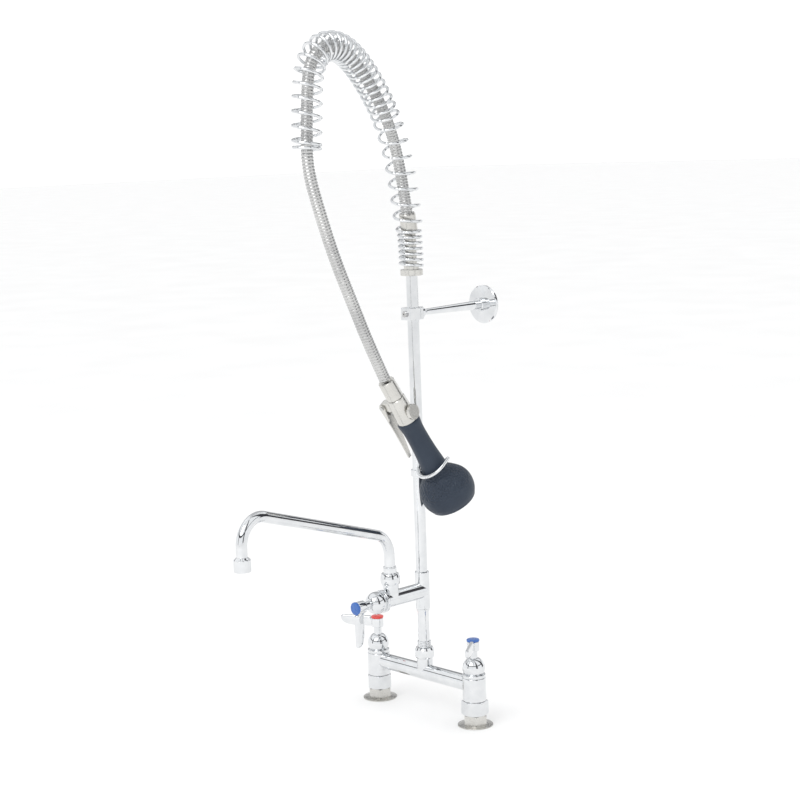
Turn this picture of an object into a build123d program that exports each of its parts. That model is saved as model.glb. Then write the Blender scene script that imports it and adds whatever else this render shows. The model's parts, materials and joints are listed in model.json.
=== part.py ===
from build123d import *
import os
from math import cos, radians, sin, tan

# Pre-rinse faucet: two-handle deck-mount mixing base, add-on valve with swing nozzle,
# riser with a wall bracket, overhead spring and hose, and a squeeze-lever spray valve.
# Millimetres. The origin is on the deck, midway between the inlets. X runs from the hot
# inlet to the cold one, Y towards the wall and Z up.

# Driving dimensions
INLET_SPACING = 203.2
CASTING_BOTTOM = 37.5
CASTING_TOP = 72.5
COLUMN_R = 17.25
CROSS_R = 11.9
CROSS_Z = 60.4
VALVE_BORE_R = 9.9
VALVE_DEPTH = 28.0
STEM_R = 6.0
PIPE_R = 8.55
INLET_R = 9.2
INLET_DEPTH = 14.0
WATERWAY_R = 6.5
FIT = 0.05

ADDON_BOTTOM = 155.5
ADDON_TOP = 215.4
ADDON_R = 10.9
ARM_R = 12.0
ARM_Z = 186.1
ARM_REACH = 80.7
NOZZLE_Y = -65.3

NOZZLE_R = 7.95
NOZZLE_TURN = 6.8
NOZZLE_LOW_Z = 278.9
NOZZLE_HIGH_Z = 372.0
NOZZLE_REACH = 304.8
NOZZLE_TIP_Z = 292.0

RISER_TOP = 657.0
BRACKET_Z = 601.4
WALL_Y = 151.4
SEAT_TOP = 666.0
SWIVEL_Z = 713.0
FERRULE_LEAN = 10.5
FERRULE_TOP = 35.4
SPRING_R = 21.3
SPRING_WIRE = 4.3
SPRING_BASE_R = 18.7
HOSE_R = 8.5
ARCH_TURN = 10.0

HANDSET_LEAN = 30.95
HANDSET_HEADING = 81.8
NECK = Vector(46.46, -12.52, 380.24)
HOSE_JOINT = -161.0
LEVER_TURN = 14.0
PIN_RADIAL = 28.0
PIN_ALONG = -115.0
STEM_ALONG = -101.0

os.makedirs("parts", exist_ok=True)


# Helpers
def turned(plane, *outline, mode=Mode.ADD):
    """Add a solid of revolution about the plane's own Z, from (radius, height) points."""
    side = Plane(origin=plane.origin, x_dir=plane.x_dir, z_dir=-plane.y_dir)
    with BuildSketch(side) as half:
        with BuildLine():
            Polyline(*outline, close=True)
        make_face()
    revolve(profiles=half.sketch, axis=Axis(plane.origin, plane.z_dir), mode=mode)


def drum(plane, radius, low, high, mode=Mode.ADD):
    """Add or cut a plain cylinder along the plane's Z, from low to high."""
    with BuildSketch(plane.offset(low)) as disc:
        Circle(radius)
    extrude(disc.sketch, amount=high - low, mode=mode)


def hexagon(plane, across_flats, low, high, turn=0):
    """Add a hexagon bar whose ends have the usual 30 degree corner chamfer."""
    with BuildSketch(plane.offset(low)) as flats:
        RegularPolygon(across_flats / 2, 6, major_radius=False, rotation=turn)
    extrude(flats.sketch, amount=high - low)
    flat = across_flats / 2
    corner = flat / cos(radians(30))
    rise = (corner - flat) * tan(radians(30))
    turned(
        plane,
        (0, low),
        (flat, low),
        (corner, low + rise),
        (corner, high - rise),
        (flat, high),
        (0, high),
        mode=Mode.INTERSECT,
    )


def corner_radii(points, share=0.45):
    """The radius for each inner corner of a route, from its shorter run and its turn."""
    radii = []
    for before, here, after in zip(points, points[1:], points[2:]):
        run = min((here - before).length, (after - here).length)
        turn = (here - before).get_angle(after - here)
        radii.append(share * run / tan(radians(turn / 2)))
    return radii


# Reference planes
HOT_X = -INLET_SPACING / 2
COLD_X = INLET_SPACING / 2
hot_inlet = Plane(origin=(HOT_X, 0, 0))
cold_inlet = Plane(origin=(COLD_X, 0, 0))
inlets = {"hot": hot_inlet, "cold": cold_inlet}
hot_lever = Vector(-cos(radians(28.8)), -sin(radians(28.8)), 0)
cold_lever = Vector(cos(radians(55.2)), -sin(radians(55.2)), 0)
valves = {
    "hot": Plane(origin=(HOT_X, 0, CASTING_TOP), x_dir=hot_lever, z_dir=(0, 0, 1)),
    "cold": Plane(origin=(COLD_X, 0, CASTING_TOP), x_dir=cold_lever, z_dir=(0, 0, 1)),
    "addon": Plane(origin=(0, -ARM_REACH, ARM_Z), x_dir=(0, 0, -1), z_dir=(0, -1, 0)),
}
nozzle_axis = Plane(origin=(0, NOZZLE_Y, 0))

COUPLING_FLATS = 34.6
COUPLING_TURN = {"hot": 17, "cold": -15}

# Inlet flange and its hexagon, one piece, with a blind threaded socket from below.
for name, plane in inlets.items():
    with BuildPart() as flange:
        hexagon(plane, 32, 2, 16.5, turn=17)
        turned(plane, (0, 0), (26, 0), (26, 1.2), (18, 2.6), (0, 2.6))
        turned(plane, (0, 16.5), (12, 16.5), (12, 21.4), (14.6, 21.4), (14.6, 24), (0, 24))
        drum(plane, INLET_R, 0, INLET_DEPTH, mode=Mode.SUBTRACT)
        drum(plane, WATERWAY_R, INLET_DEPTH, 24, mode=Mode.SUBTRACT)
    flange.part.label = f"{name}_inlet_flange"
    export_step(flange.part, f"parts/{name}_inlet_flange.step")

    # Coupling nut: its lip hooks under the flange's collar, its thread holds the casting.
    with BuildPart() as coupling:
        hexagon(plane, COUPLING_FLATS, 16.6, 37.4, turn=COUPLING_TURN[name])
        drum(plane, 12.2, 16, 21.3, mode=Mode.SUBTRACT)
        drum(plane, 15.1, 21.3, 38, mode=Mode.SUBTRACT)
    coupling.part.label = f"{name}_coupling_nut"
    export_step(coupling.part, f"parts/{name}_coupling_nut.step")

with BuildPart() as inlet_washers:
    for plane in inlets.values():
        turned(plane, (6.5, 24), (14.4, 24), (14.4, 25.5), (6.5, 25.5))
inlet_washers.part.label = "inlet_washers"
export_step(inlet_washers.part, "parts/inlet_washers.step")

# Mixing base: one casting of two columns, the cross tube and the centre boss.
BOSS_TOP = 82.5
RISER_NUT_TOP = 99.0
with BuildPart() as base_body:
    for plane in inlets.values():
        with BuildSketch(plane.offset(CASTING_BOTTOM)):
            Circle(COLUMN_R)
        extrude(amount=CASTING_TOP - CASTING_BOTTOM)
    ends = base_body.edges().filter_by(GeomType.CIRCLE)
    fillet(ends, radius=1.2)
    for plane in inlets.values():
        drum(plane, 15.0, 25.5, CASTING_BOTTOM + 1)
    with BuildSketch(Plane(origin=(HOT_X, 0, CROSS_Z), z_dir=(1, 0, 0))):
        Circle(CROSS_R)
    extrude(amount=INLET_SPACING)
    turned(Plane.XY, (0, CROSS_Z), (CROSS_R, CROSS_Z), (CROSS_R, BOSS_TOP), (0, BOSS_TOP))
    for plane in inlets.values():
        drum(plane, VALVE_BORE_R, CASTING_TOP - VALVE_DEPTH, CASTING_TOP, mode=Mode.SUBTRACT)
        drum(plane, 6.5, 25, CASTING_TOP - VALVE_DEPTH + 1, mode=Mode.SUBTRACT)
    with BuildSketch(Plane(origin=(HOT_X, 0, CROSS_Z), z_dir=(1, 0, 0))):
        Circle(6.5)
    extrude(amount=INLET_SPACING, mode=Mode.SUBTRACT)
    drum(Plane.XY, 6.5, CROSS_Z, BOSS_TOP, mode=Mode.SUBTRACT)
    drum(Plane.XY, PIPE_R + FIT, BOSS_TOP - 6, BOSS_TOP, mode=Mode.SUBTRACT)
base_body.part.label = "base_body"
export_step(base_body.part, "parts/base_body.step")

# Valves: the same working parts in the hot column, the cold column and the add-on arm.
SEAT = -VALVE_DEPTH
CHAMBER_LOW = SEAT + 2
CHAMBER_HIGH = -11.5
PORT = -17.0
THREAD_R = 4.0
HUB_LOW = 39.9
HUB_HIGH = 53.7
DRIVE_TOP = 45.8
SCREW_SEAT = 47.8
INDEX_LOW = 51.2
INDEX_HIGH = 57.4
HUB_R = 9.2
INDEX_R = 9.5
LEVER_TOP = 56.4
LEVER_REACH = 59.5
BLADE_HALF = 4.0

for name, plane in valves.items():
    # Cartridge: a fixed sleeve with the seat below, four ports and two key grooves.
    with BuildPart() as cartridge:
        drum(plane, VALVE_BORE_R - FIT, SEAT, -10.05)
        drum(plane, 6.0 + FIT, CHAMBER_LOW, CHAMBER_HIGH, mode=Mode.SUBTRACT)
        with BuildSketch(plane.offset(CHAMBER_LOW)):
            Rectangle(15.2, 3.2)
        extrude(amount=CHAMBER_HIGH - CHAMBER_LOW, mode=Mode.SUBTRACT)
        drum(plane, 4.5, SEAT, CHAMBER_LOW, mode=Mode.SUBTRACT)
        drum(plane, THREAD_R + FIT, CHAMBER_HIGH, -10, mode=Mode.SUBTRACT)
        port_planes = [
            Plane(origin=plane.origin + plane.z_dir * PORT, z_dir=plane.x_dir),
            Plane(origin=plane.origin + plane.z_dir * PORT, z_dir=plane.y_dir),
        ]
        for port in port_planes:
            drum(port, 2.5, -12, 12, mode=Mode.SUBTRACT)
    cartridge.part.label = f"{name}_cartridge"
    export_step(cartridge.part, f"parts/{name}_cartridge.step")

    # Plunger: threaded on the spindle and keyed, so that it lifts as the spindle turns.
    with BuildPart() as plunger:
        drum(plane, 6.0, CHAMBER_LOW, CHAMBER_LOW + 12)
        with BuildSketch(plane.offset(CHAMBER_LOW)):
            Rectangle(14.9, 3.0)
        extrude(amount=12)
        drum(plane, THREAD_R + FIT, CHAMBER_LOW + 2, CHAMBER_LOW + 12, mode=Mode.SUBTRACT)
    plunger.part.label = f"{name}_plunger"
    export_step(plunger.part, f"parts/{name}_plunger.step")

    # Spindle: thread, thrust collar, stem and the tapped drive end that the handle sits on.
    with BuildPart() as spindle:
        turned(
            plane,
            (0, -21.8),
            (THREAD_R, -21.8),
            (THREAD_R, -9.9),
            (7.5, -9.9),
            (7.5, -6),
            (STEM_R, -6),
            (STEM_R, HUB_LOW - 0.1),
            (5.0, HUB_LOW - 0.1),
            (5.0, DRIVE_TOP),
            (0, DRIVE_TOP),
        )
        drum(plane, 2.0, DRIVE_TOP - 10, DRIVE_TOP, mode=Mode.SUBTRACT)
    spindle.part.label = f"{name}_spindle"
    export_step(spindle.part, f"parts/{name}_spindle.step")

    # Bonnet: ridge, ball-shaped dome and a threaded tail over the spindle's collar.
    side = Plane(origin=plane.origin, x_dir=plane.x_dir, z_dir=-plane.y_dir)
    with BuildPart() as bonnet:
        with BuildSketch(side):
            with BuildLine():
                Polyline((0, -10), (VALVE_BORE_R - FIT, -10), (VALVE_BORE_R - FIT, 0), (16.4, 0))
                Polyline((16.4, 0), (17, 0.6), (17, 4.4), (16.4, 5), (14.3, 5))
                ThreePointArc((14.3, 5), (16.6, 14), (9.2, 27.8))
                Polyline((9.2, 27.8), (0, 28.6), (0, -10))
            make_face()
        revolve(axis=Axis(plane.origin, plane.z_dir))
        drum(plane, STEM_R + FIT, -12, 30, mode=Mode.SUBTRACT)
        drum(plane, 7.5 + 0.1, -12, -5.9, mode=Mode.SUBTRACT)
        drum(plane, 8.6, 15, 19, mode=Mode.SUBTRACT)
    bonnet.part.label = f"{name}_bonnet"
    export_step(bonnet.part, f"parts/{name}_bonnet.step")

    # Lever handle: a turned hub and a blade on edge, pinned down by a screw from above.
    with BuildPart() as handle:
        with BuildSketch(side):
            with BuildLine():
                Polyline((4, HUB_LOW), (4, HUB_HIGH), (10, HUB_HIGH), (10, LEVER_TOP))
                Line((10, LEVER_TOP), (LEVER_REACH - 3.6, LEVER_TOP - 0.3))
                ThreePointArc(
                    (LEVER_REACH - 3.6, LEVER_TOP - 0.3),
                    (LEVER_REACH - 1.0, LEVER_TOP - 1.4),
                    (LEVER_REACH, LEVER_TOP - 4.0),
                )
                ThreePointArc(
                    (LEVER_REACH, LEVER_TOP - 4.0),
                    (LEVER_REACH - 8.0, HUB_LOW + 5.2),
                    (LEVER_REACH - 22.0, HUB_LOW + 0.8),
                )
                Line((LEVER_REACH - 22.0, HUB_LOW + 0.8), (4, HUB_LOW))
            make_face()
        extrude(amount=BLADE_HALF, both=True)
        turned(plane, (0, HUB_LOW), (HUB_R, HUB_LOW), (HUB_R, HUB_HIGH), (0, HUB_HIGH))
        drum(plane, 5.0 + FIT, HUB_LOW - 1, DRIVE_TOP + 0.1, mode=Mode.SUBTRACT)
        drum(plane, 2.2, DRIVE_TOP, SCREW_SEAT + 1, mode=Mode.SUBTRACT)
        drum(plane, 7.6, SCREW_SEAT, HUB_HIGH, mode=Mode.SUBTRACT)
    handle.part.label = f"{name}_handle"
    export_step(handle.part, f"parts/{name}_handle.step")

    with BuildPart() as handle_screw:
        drum(plane, 2.0 - FIT, DRIVE_TOP - 9, SCREW_SEAT)
        drum(plane, 3.8, SCREW_SEAT, SCREW_SEAT + 3)
        with BuildSketch(plane.offset(SCREW_SEAT + 1.6)):
            Rectangle(8, 0.9)
        extrude(amount=2, mode=Mode.SUBTRACT)
    handle_screw.part.label = f"{name}_handle_screw"
    export_step(handle_screw.part, f"parts/{name}_handle_screw.step")

    # Index button: a coloured disc with a plug that snaps into the hub.
    with BuildPart() as index:
        turned(
            plane,
            (0, INDEX_LOW),
            (7.5, INDEX_LOW),
            (7.5, HUB_HIGH),
            (INDEX_R, HUB_HIGH),
            (INDEX_R, INDEX_HIGH - 0.8),
            (8.7, INDEX_HIGH),
            (0, INDEX_HIGH),
        )
    index.part.label = f"{name}_index"
    export_step(index.part, f"parts/{name}_index.step")

with BuildPart() as stem_packings:
    for plane in valves.values():
        turned(plane, (STEM_R + FIT, 15.1), (8.5, 15.1), (8.5, 18.9), (STEM_R + FIT, 18.9))
stem_packings.part.label = "stem_packings"
export_step(stem_packings.part, "parts/stem_packings.step")

# Centre outlet: lower riser, its ribbed ring and the nut that holds it to the base.
with BuildPart() as lower_riser:
    turned(
        Plane.XY,
        (6.5, BOSS_TOP - 5.8),
        (PIPE_R, BOSS_TOP - 5.8),
        (PIPE_R, ADDON_BOTTOM + 8),
        (6.5, ADDON_BOTTOM + 8),
    )
lower_riser.part.label = "lower_riser"
export_step(lower_riser.part, "parts/lower_riser.step")

with BuildPart() as riser_nut:
    hexagon(Plane.XY, 28.4, BOSS_TOP, RISER_NUT_TOP, turn=17)
    turned(
        Plane.XY,
        (0, BOSS_TOP),
        (13.0, BOSS_TOP),
        (14.8, BOSS_TOP + 3),
        (15.4, BOSS_TOP + 8),
        (14.8, RISER_NUT_TOP - 3.5),
        (12.6, RISER_NUT_TOP),
        (0, RISER_NUT_TOP),
        mode=Mode.INTERSECT,
    )
    drum(Plane.XY, PIPE_R + 0.1, BOSS_TOP - 1, RISER_NUT_TOP + 1, mode=Mode.SUBTRACT)
riser_nut.part.label = "riser_nut"
export_step(riser_nut.part, "parts/riser_nut.step")

with BuildPart() as riser_ring:
    for rib in range(4):
        low = RISER_NUT_TOP + 0.1 + rib * 2.45
        turned(
            Plane.XY,
            (PIPE_R + 0.1, low),
            (9.5, low),
            (10.25, low + 0.75),
            (10.25, low + 1.7),
            (9.5, low + 2.45),
            (PIPE_R + 0.1, low + 2.45),
        )
riser_ring.part.label = "riser_ring"
export_step(riser_ring.part, "parts/riser_ring.step")

# Add-on body: tee on the riser, arm towards the user and the nozzle boss.
BOSS_INSIDE_TOP = 213.0
with BuildPart() as addon_body:
    turned(
        Plane.XY,
        (0, ADDON_BOTTOM),
        (ADDON_R - 1.1, ADDON_BOTTOM),
        (ADDON_R - 1.1, ADDON_BOTTOM + 2.5),
        (ADDON_R, ADDON_BOTTOM + 3.5),
        (ADDON_R, ADDON_TOP - 1),
        (ADDON_R - 1, ADDON_TOP),
        (0, ADDON_TOP),
    )
    arm = Plane(origin=(0, 0, ARM_Z), z_dir=(0, -1, 0))
    drum(arm, ARM_R, 0, ARM_REACH)
    drum(nozzle_axis, 11.9, ARM_Z, 209)
    drum(nozzle_axis, 11.6, 209, BOSS_INSIDE_TOP)
    drum(Plane.XY, PIPE_R + FIT, ADDON_BOTTOM, ADDON_BOTTOM + 8.1, mode=Mode.SUBTRACT)
    drum(Plane.XY, 6.5, ADDON_BOTTOM, ADDON_TOP, mode=Mode.SUBTRACT)
    drum(Plane.XY, PIPE_R + FIT, ADDON_TOP - 9.1, ADDON_TOP, mode=Mode.SUBTRACT)
    drum(arm, 5, 0, ARM_REACH, mode=Mode.SUBTRACT)
    drum(arm, VALVE_BORE_R, ARM_REACH - VALVE_DEPTH, ARM_REACH, mode=Mode.SUBTRACT)
    drum(nozzle_axis, NOZZLE_R + 0.35, 196.5, BOSS_INSIDE_TOP + 1, mode=Mode.SUBTRACT)
    drum(nozzle_axis, 5, ARM_Z, 197, mode=Mode.SUBTRACT)
addon_body.part.label = "addon_body"
export_step(addon_body.part, "parts/addon_body.step")

# Nozzle swivel: the nut's lip holds the collar's flange down on the boss.
with BuildPart() as nozzle_nut:
    with BuildSketch(Plane(origin=(0, NOZZLE_Y, 0), x_dir=(1, 0, 0), z_dir=(0, -1, 0))):
        with BuildLine():
            Polyline((11.7, 209.1), (13.4, 209.1))
            ThreePointArc((13.4, 209.1), (14.75, 217), (12.6, 225))
            Polyline((12.6, 225), (9.55, 225), (9.55, 216.6), (11.7, 216.6), (11.7, 209.1))
        make_face()
    revolve(axis=Axis((0, NOZZLE_Y, 0), (0, 0, 1)))
nozzle_nut.part.label = "nozzle_nut"
export_step(nozzle_nut.part, "parts/nozzle_nut.step")

with BuildPart() as nozzle_collar:
    turned(
        nozzle_axis,
        (NOZZLE_R, 213.1),
        (11.3, 213.1),
        (11.3, 216.4),
        (9.5, 216.4),
        (9.5, 225.2),
        (9.0, 225.2),
        (9.0, 226.4),
        (9.7, 226.4),
        (9.7, 233.4),
        (9.0, 233.4),
        (9.0, 234.2),
        (9.5, 234.2),
        (9.5, 235.2),
        (NOZZLE_R, 235.2),
    )
nozzle_collar.part.label = "nozzle_collar"
export_step(nozzle_collar.part, "parts/nozzle_collar.step")

NOZZLE_FOOT = 198.0
ORING_Z = [202.0, 207.5]
along = Vector(sin(radians(NOZZLE_TURN)), -cos(radians(NOZZLE_TURN)), 0)
pivot = Vector(0, NOZZLE_Y, 0)
nozzle_route = [
    pivot + Vector(0, 0, 222),
    pivot + Vector(0, 0, NOZZLE_LOW_Z),
    pivot + along * NOZZLE_REACH + Vector(0, 0, NOZZLE_HIGH_Z),
    pivot + along * NOZZLE_REACH + Vector(0, 0, NOZZLE_TIP_Z + 6),
]
with BuildPart() as nozzle_tube:
    with BuildLine() as nozzle_line:
        FilletPolyline(*nozzle_route, radius=[38.4, 35])
    with BuildSketch(Plane(origin=nozzle_route[0])):
        Circle(NOZZLE_R - 0.03)
        Circle(NOZZLE_R - 1.2, mode=Mode.SUBTRACT)
    sweep(path=nozzle_line.line)
    turned(
        nozzle_axis,
        (NOZZLE_R - 1.2, NOZZLE_FOOT),
        (NOZZLE_R - 0.03, NOZZLE_FOOT),
        (NOZZLE_R - 0.03, 222),
        (NOZZLE_R - 1.2, 222),
    )
nozzle_tube.part.label = "nozzle_tube"
export_step(nozzle_tube.part, "parts/nozzle_tube.step")

with BuildPart() as nozzle_orings:
    for height in ORING_Z:
        ring = Plane(origin=(0, NOZZLE_Y, height))
        turned(ring, (NOZZLE_R, 0), (NOZZLE_R + 0.28, 0), (NOZZLE_R + 0.28, 1.6), (NOZZLE_R, 1.6))
nozzle_orings.part.label = "nozzle_orings"
export_step(nozzle_orings.part, "parts/nozzle_orings.step")

outlet = Plane(origin=pivot + along * NOZZLE_REACH + Vector(0, 0, NOZZLE_TIP_Z))
with BuildPart() as nozzle_tip:
    turned(
        outlet,
        (9.4, 0),
        (11.4, 0),
        (11.9, 0.8),
        (11.9, 16.2),
        (11.0, 17.2),
        (NOZZLE_R + 0.6, 19.4),
        (NOZZLE_R, 20),
        (NOZZLE_R, 5),
        (9.4, 4),
    )
nozzle_tip.part.label = "nozzle_tip"
export_step(nozzle_tip.part, "parts/nozzle_tip.step")

# Aerator screen across the outlet, a perforated disc.
with BuildPart() as nozzle_screen:
    drum(outlet, 9.3, 1, 2.4)
    with BuildSketch(outlet.offset(1)):
        for ring, holes in ((0, 1), (2.6, 6), (5.2, 12), (7.6, 18)):
            with PolarLocations(ring, holes):
                Circle(0.7)
    extrude(amount=1.4, mode=Mode.SUBTRACT)
nozzle_screen.part.label = "nozzle_screen"
export_step(nozzle_screen.part, "parts/nozzle_screen.step")

# Riser and wall bracket
with BuildPart() as riser_pipe:
    turned(Plane.XY, (7, ADDON_TOP - 9), (PIPE_R, ADDON_TOP - 9), (PIPE_R, RISER_TOP), (7, RISER_TOP))
riser_pipe.part.label = "riser_pipe"
export_step(riser_pipe.part, "parts/riser_pipe.step")

with BuildPart() as bracket_clamp:
    with BuildSketch(Plane.XY.offset(BRACKET_Z - 9.25)):
        Circle(12)
        with Locations((0, -8), (0, 5)):
            Rectangle(20, 15)
    extrude(amount=18.5)
    fillet(bracket_clamp.edges(), radius=1.4)
    drum(Plane.XY, PIPE_R + FIT, BRACKET_Z - 12, BRACKET_Z + 12, mode=Mode.SUBTRACT)
    drum(Plane(origin=(0, -16, BRACKET_Z), z_dir=(0, 1, 0)), 2.55, -2, 8, mode=Mode.SUBTRACT)
    drum(Plane(origin=(0, 8, BRACKET_Z), z_dir=(0, 1, 0)), 4.05, 2, 8, mode=Mode.SUBTRACT)
bracket_clamp.part.label = "bracket_clamp"
export_step(bracket_clamp.part, "parts/bracket_clamp.step")

screw_axis = Plane(origin=(0, -15.5, BRACKET_Z), z_dir=(0, -1, 0))
with BuildPart() as bracket_clamp_screw:
    drum(screw_axis, 2.5, -6.8, 0.2)
    turned(screw_axis, (0, 0.1), (4.5, 0.1), (4.5, 2.6), (3.6, 3.5), (0, 3.5))
    with BuildSketch(screw_axis.offset(2)):
        RegularPolygon(1.6, 6)
    extrude(amount=2, mode=Mode.SUBTRACT)
bracket_clamp_screw.part.label = "bracket_clamp_screw"
export_step(bracket_clamp_screw.part, "parts/bracket_clamp_screw.step")

rod_axis = Plane(origin=(0, 0, BRACKET_Z), z_dir=(0, 1, 0))
with BuildPart() as bracket_rod:
    turned(
        rod_axis,
        (0, 10.1),
        (4, 10.1),
        (4, 12.6),
        (7.2, 12.6),
        (8.2, 13.6),
        (8.2, 18),
        (7.2, 19.2),
        (4.5, 25),
        (6.9, 137),
        (4.9, 137),
        (4.9, 150),
        (0, 150),
    )
bracket_rod.part.label = "bracket_rod"
export_step(bracket_rod.part, "parts/bracket_rod.step")

with BuildPart() as wall_flange:
    turned(
        rod_axis,
        (4.95, 137.1),
        (9, 137.1),
        (10.3, 138.4),
        (10.3, 146.5),
        (27.6, 147.4),
        (28.9, 148.6),
        (28.9, WALL_Y),
        (4.95, WALL_Y),
    )
wall_flange.part.label = "wall_flange"
export_step(wall_flange.part, "parts/wall_flange.step")

# Spring seat, hose ferrule and overhead spring
with BuildPart() as spring_seat:
    turned(
        Plane.XY,
        (6.0, RISER_TOP - 9),
        (6.9, RISER_TOP - 9),
        (6.9, RISER_TOP),
        (15.7, RISER_TOP),
        (16.5, RISER_TOP + 0.8),
        (16.5, SEAT_TOP - 0.8),
        (15.7, SEAT_TOP),
        (11, SEAT_TOP),
        (11, SEAT_TOP + 8),
        (8.3, SEAT_TOP + 8),
        (8.3, SWIVEL_Z - 2),
        (6.0, SWIVEL_Z - 2),
    )
spring_seat.part.label = "spring_seat"
export_step(spring_seat.part, "parts/spring_seat.step")

forward = Vector(sin(radians(ARCH_TURN)), -cos(radians(ARCH_TURN)), 0)
sideways = Vector(cos(radians(ARCH_TURN)), sin(radians(ARCH_TURN)), 0)


def in_arch(reach, height, aside=0):
    """A point given by its reach from the riser, its height and its offset from the arch."""
    return forward * reach + sideways * aside + Vector(0, 0, height)


lean = radians(FERRULE_LEAN)
ferrule_up = forward * sin(lean) + Vector(0, 0, cos(lean))
ferrule_axis = Plane(origin=in_arch(0, SWIVEL_Z), x_dir=sideways, z_dir=ferrule_up)
with BuildPart() as hose_ferrule:
    turned(
        ferrule_axis,
        (5.5, 0),
        (8.2, 0),
        (8.2, 9),
        (11.6, 9),
        (12, 9.6),
        (12, 33),
        (11, FERRULE_TOP),
        (5.5, FERRULE_TOP),
    )
hose_ferrule.part.label = "hose_ferrule"
export_step(hose_ferrule.part, "parts/hose_ferrule.step")

# Hose: up from the ferrule, over the arch inside the spring and down to the spray valve.
heading = radians(HANDSET_HEADING)
tilt = radians(HANDSET_LEAN)
down = Vector(sin(tilt) * cos(heading), sin(tilt) * sin(heading), -cos(tilt))
across = Vector(sin(heading), -cos(heading), 0)
handset = Plane(origin=NECK, x_dir=across, z_dir=down)
hose_joint = NECK + down * HOSE_JOINT

hose_route = [
    ferrule_axis.origin + ferrule_up * FERRULE_TOP,
    ferrule_axis.origin + ferrule_up * 101,
    in_arch(41, 874),
    in_arch(78, 926),
    in_arch(120, 966),
    in_arch(158, 984),
    in_arch(195, 979),
    in_arch(218, 956),
    in_arch(225, 918),
    in_arch(229, 870),
    in_arch(231, 818),
    in_arch(213, 755, 5),
    in_arch(188, 690, 8.3),
    in_arch(158, 630, 11.5),
    in_arch(128, 568, 15),
    hose_joint,
]
hose_radii = corner_radii(hose_route)
print("hose radii", [round(radius, 1) for radius in hose_radii])
start_plane = Plane(origin=hose_route[0], z_dir=hose_route[1] - hose_route[0])
with BuildPart() as hose:
    with BuildLine() as hose_line:
        FilletPolyline(*hose_route, radius=hose_radii)
    with BuildSketch(start_plane):
        Circle(HOSE_R)
    sweep(path=hose_line.line)
    with Locations(hose_joint):
        Sphere(HOSE_R)
hose.part.label = "hose"
export_step(hose.part, "parts/hose.step")
hose_length = sum(edge.length for edge in hose_line.line.edges())
print("hose length", round(hose_length, 1), "radius", HOSE_R)

# Overhead spring: the outline of its coils, hollow, close-wound and narrower at its foot.
SPRING_END = 845.0
spring_route = [
    ferrule_axis.origin + ferrule_up * 9,
    *hose_route[1:10],
    in_arch(229 + 2 * (870 - SPRING_END) / 52, SPRING_END),
]
spring_radii = corner_radii(spring_route)
foot_high = 719.0
with BuildPart() as overhead_spring:
    with BuildLine() as spring_line:
        FilletPolyline(*spring_route, radius=spring_radii)
    with BuildSketch(Plane(origin=spring_route[0], z_dir=spring_route[1] - spring_route[0])):
        Circle(SPRING_R)
        Circle(SPRING_R - SPRING_WIRE, mode=Mode.SUBTRACT)
    sweep(path=spring_line.line)
    turned(
        Plane.XY,
        (SPRING_BASE_R - SPRING_WIRE, SEAT_TOP + 0.1),
        (SPRING_BASE_R, SEAT_TOP + 0.1),
        (SPRING_BASE_R, foot_high),
        (SPRING_R + 0.6, foot_high + 6),
        (SPRING_R - SPRING_WIRE, foot_high + 6),
        (SPRING_BASE_R - SPRING_WIRE, foot_high - 2),
    )
overhead_spring.part.label = "overhead_spring"
export_step(overhead_spring.part, "parts/overhead_spring.step")

# Hose end fitting: a cup around the hose's ball end, and a hexagon neck to the valve.
FITTING_TOP = HOSE_JOINT + 4
SEAM = -127.0
GRIP_TOP = -87.6
with BuildPart() as hose_end_fitting:
    turned(
        handset,
        (0, FITTING_TOP),
        (11.2, FITTING_TOP),
        (12, FITTING_TOP + 1),
        (12.4, SEAM - 1),
        (11.6, SEAM - 0.1),
        (0, SEAM - 0.1),
    )
    with Locations(hose_joint):
        Sphere(HOSE_R + 0.35, mode=Mode.SUBTRACT)
    drum(handset, 4.5, HOSE_JOINT + 6, SEAM, mode=Mode.SUBTRACT)
hose_end_fitting.part.label = "hose_end_fitting"
export_step(hose_end_fitting.part, "parts/hose_end_fitting.step")

# Spray valve. Its cross bore runs from the bonnet cap to the squeeze lever.
turn = radians(LEVER_TURN)
aside = handset.y_dir
outward = across * -cos(turn) + aside * sin(turn)
pin_dir = down.cross(outward)
lever_side = Plane(origin=NECK, x_dir=outward, z_dir=-pin_dir)
cross_axis = Plane(origin=NECK + down * STEM_ALONG, x_dir=down, z_dir=-outward)
pin_centre = NECK + down * PIN_ALONG + outward * PIN_RADIAL
pin_axis = Plane(origin=pin_centre, x_dir=outward, z_dir=-pin_dir)
LUG = 5.5
CORE_R = 9.0
CORE_END = 46.0

with BuildPart() as spray_body:
    turned(
        handset,
        (0, SEAM),
        (12.6, SEAM),
        (13.6, SEAM + 1.2),
        (15.4, GRIP_TOP - 1),
        (15.4, GRIP_TOP + 2),
        (CORE_R, GRIP_TOP + 4),
        (CORE_R, CORE_END),
        (0, CORE_END),
    )
    with BuildSketch(lever_side) as lug:
        with BuildLine():
            Polyline((8, -121), (PIN_RADIAL, -121))
            ThreePointArc((PIN_RADIAL, -121), (PIN_RADIAL + 6, -115), (PIN_RADIAL, -109))
            Polyline((PIN_RADIAL, -109), (8, -104), (8, -121))
        make_face()
    extrude(lug.sketch, amount=LUG, both=True)
    drum(pin_axis, 2.05, -7, 7, mode=Mode.SUBTRACT)
    drum(handset, 4.5, SEAM - 1, -106, mode=Mode.SUBTRACT)
    drum(handset, 5.0, -96, CORE_END + 1, mode=Mode.SUBTRACT)
    drum(cross_axis, 3.25, -20, 20, mode=Mode.SUBTRACT)
    drum(cross_axis, 7.05, -6, 20, mode=Mode.SUBTRACT)
spray_body.part.label = "spray_body"
export_step(spray_body.part, "parts/spray_body.step")

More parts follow.
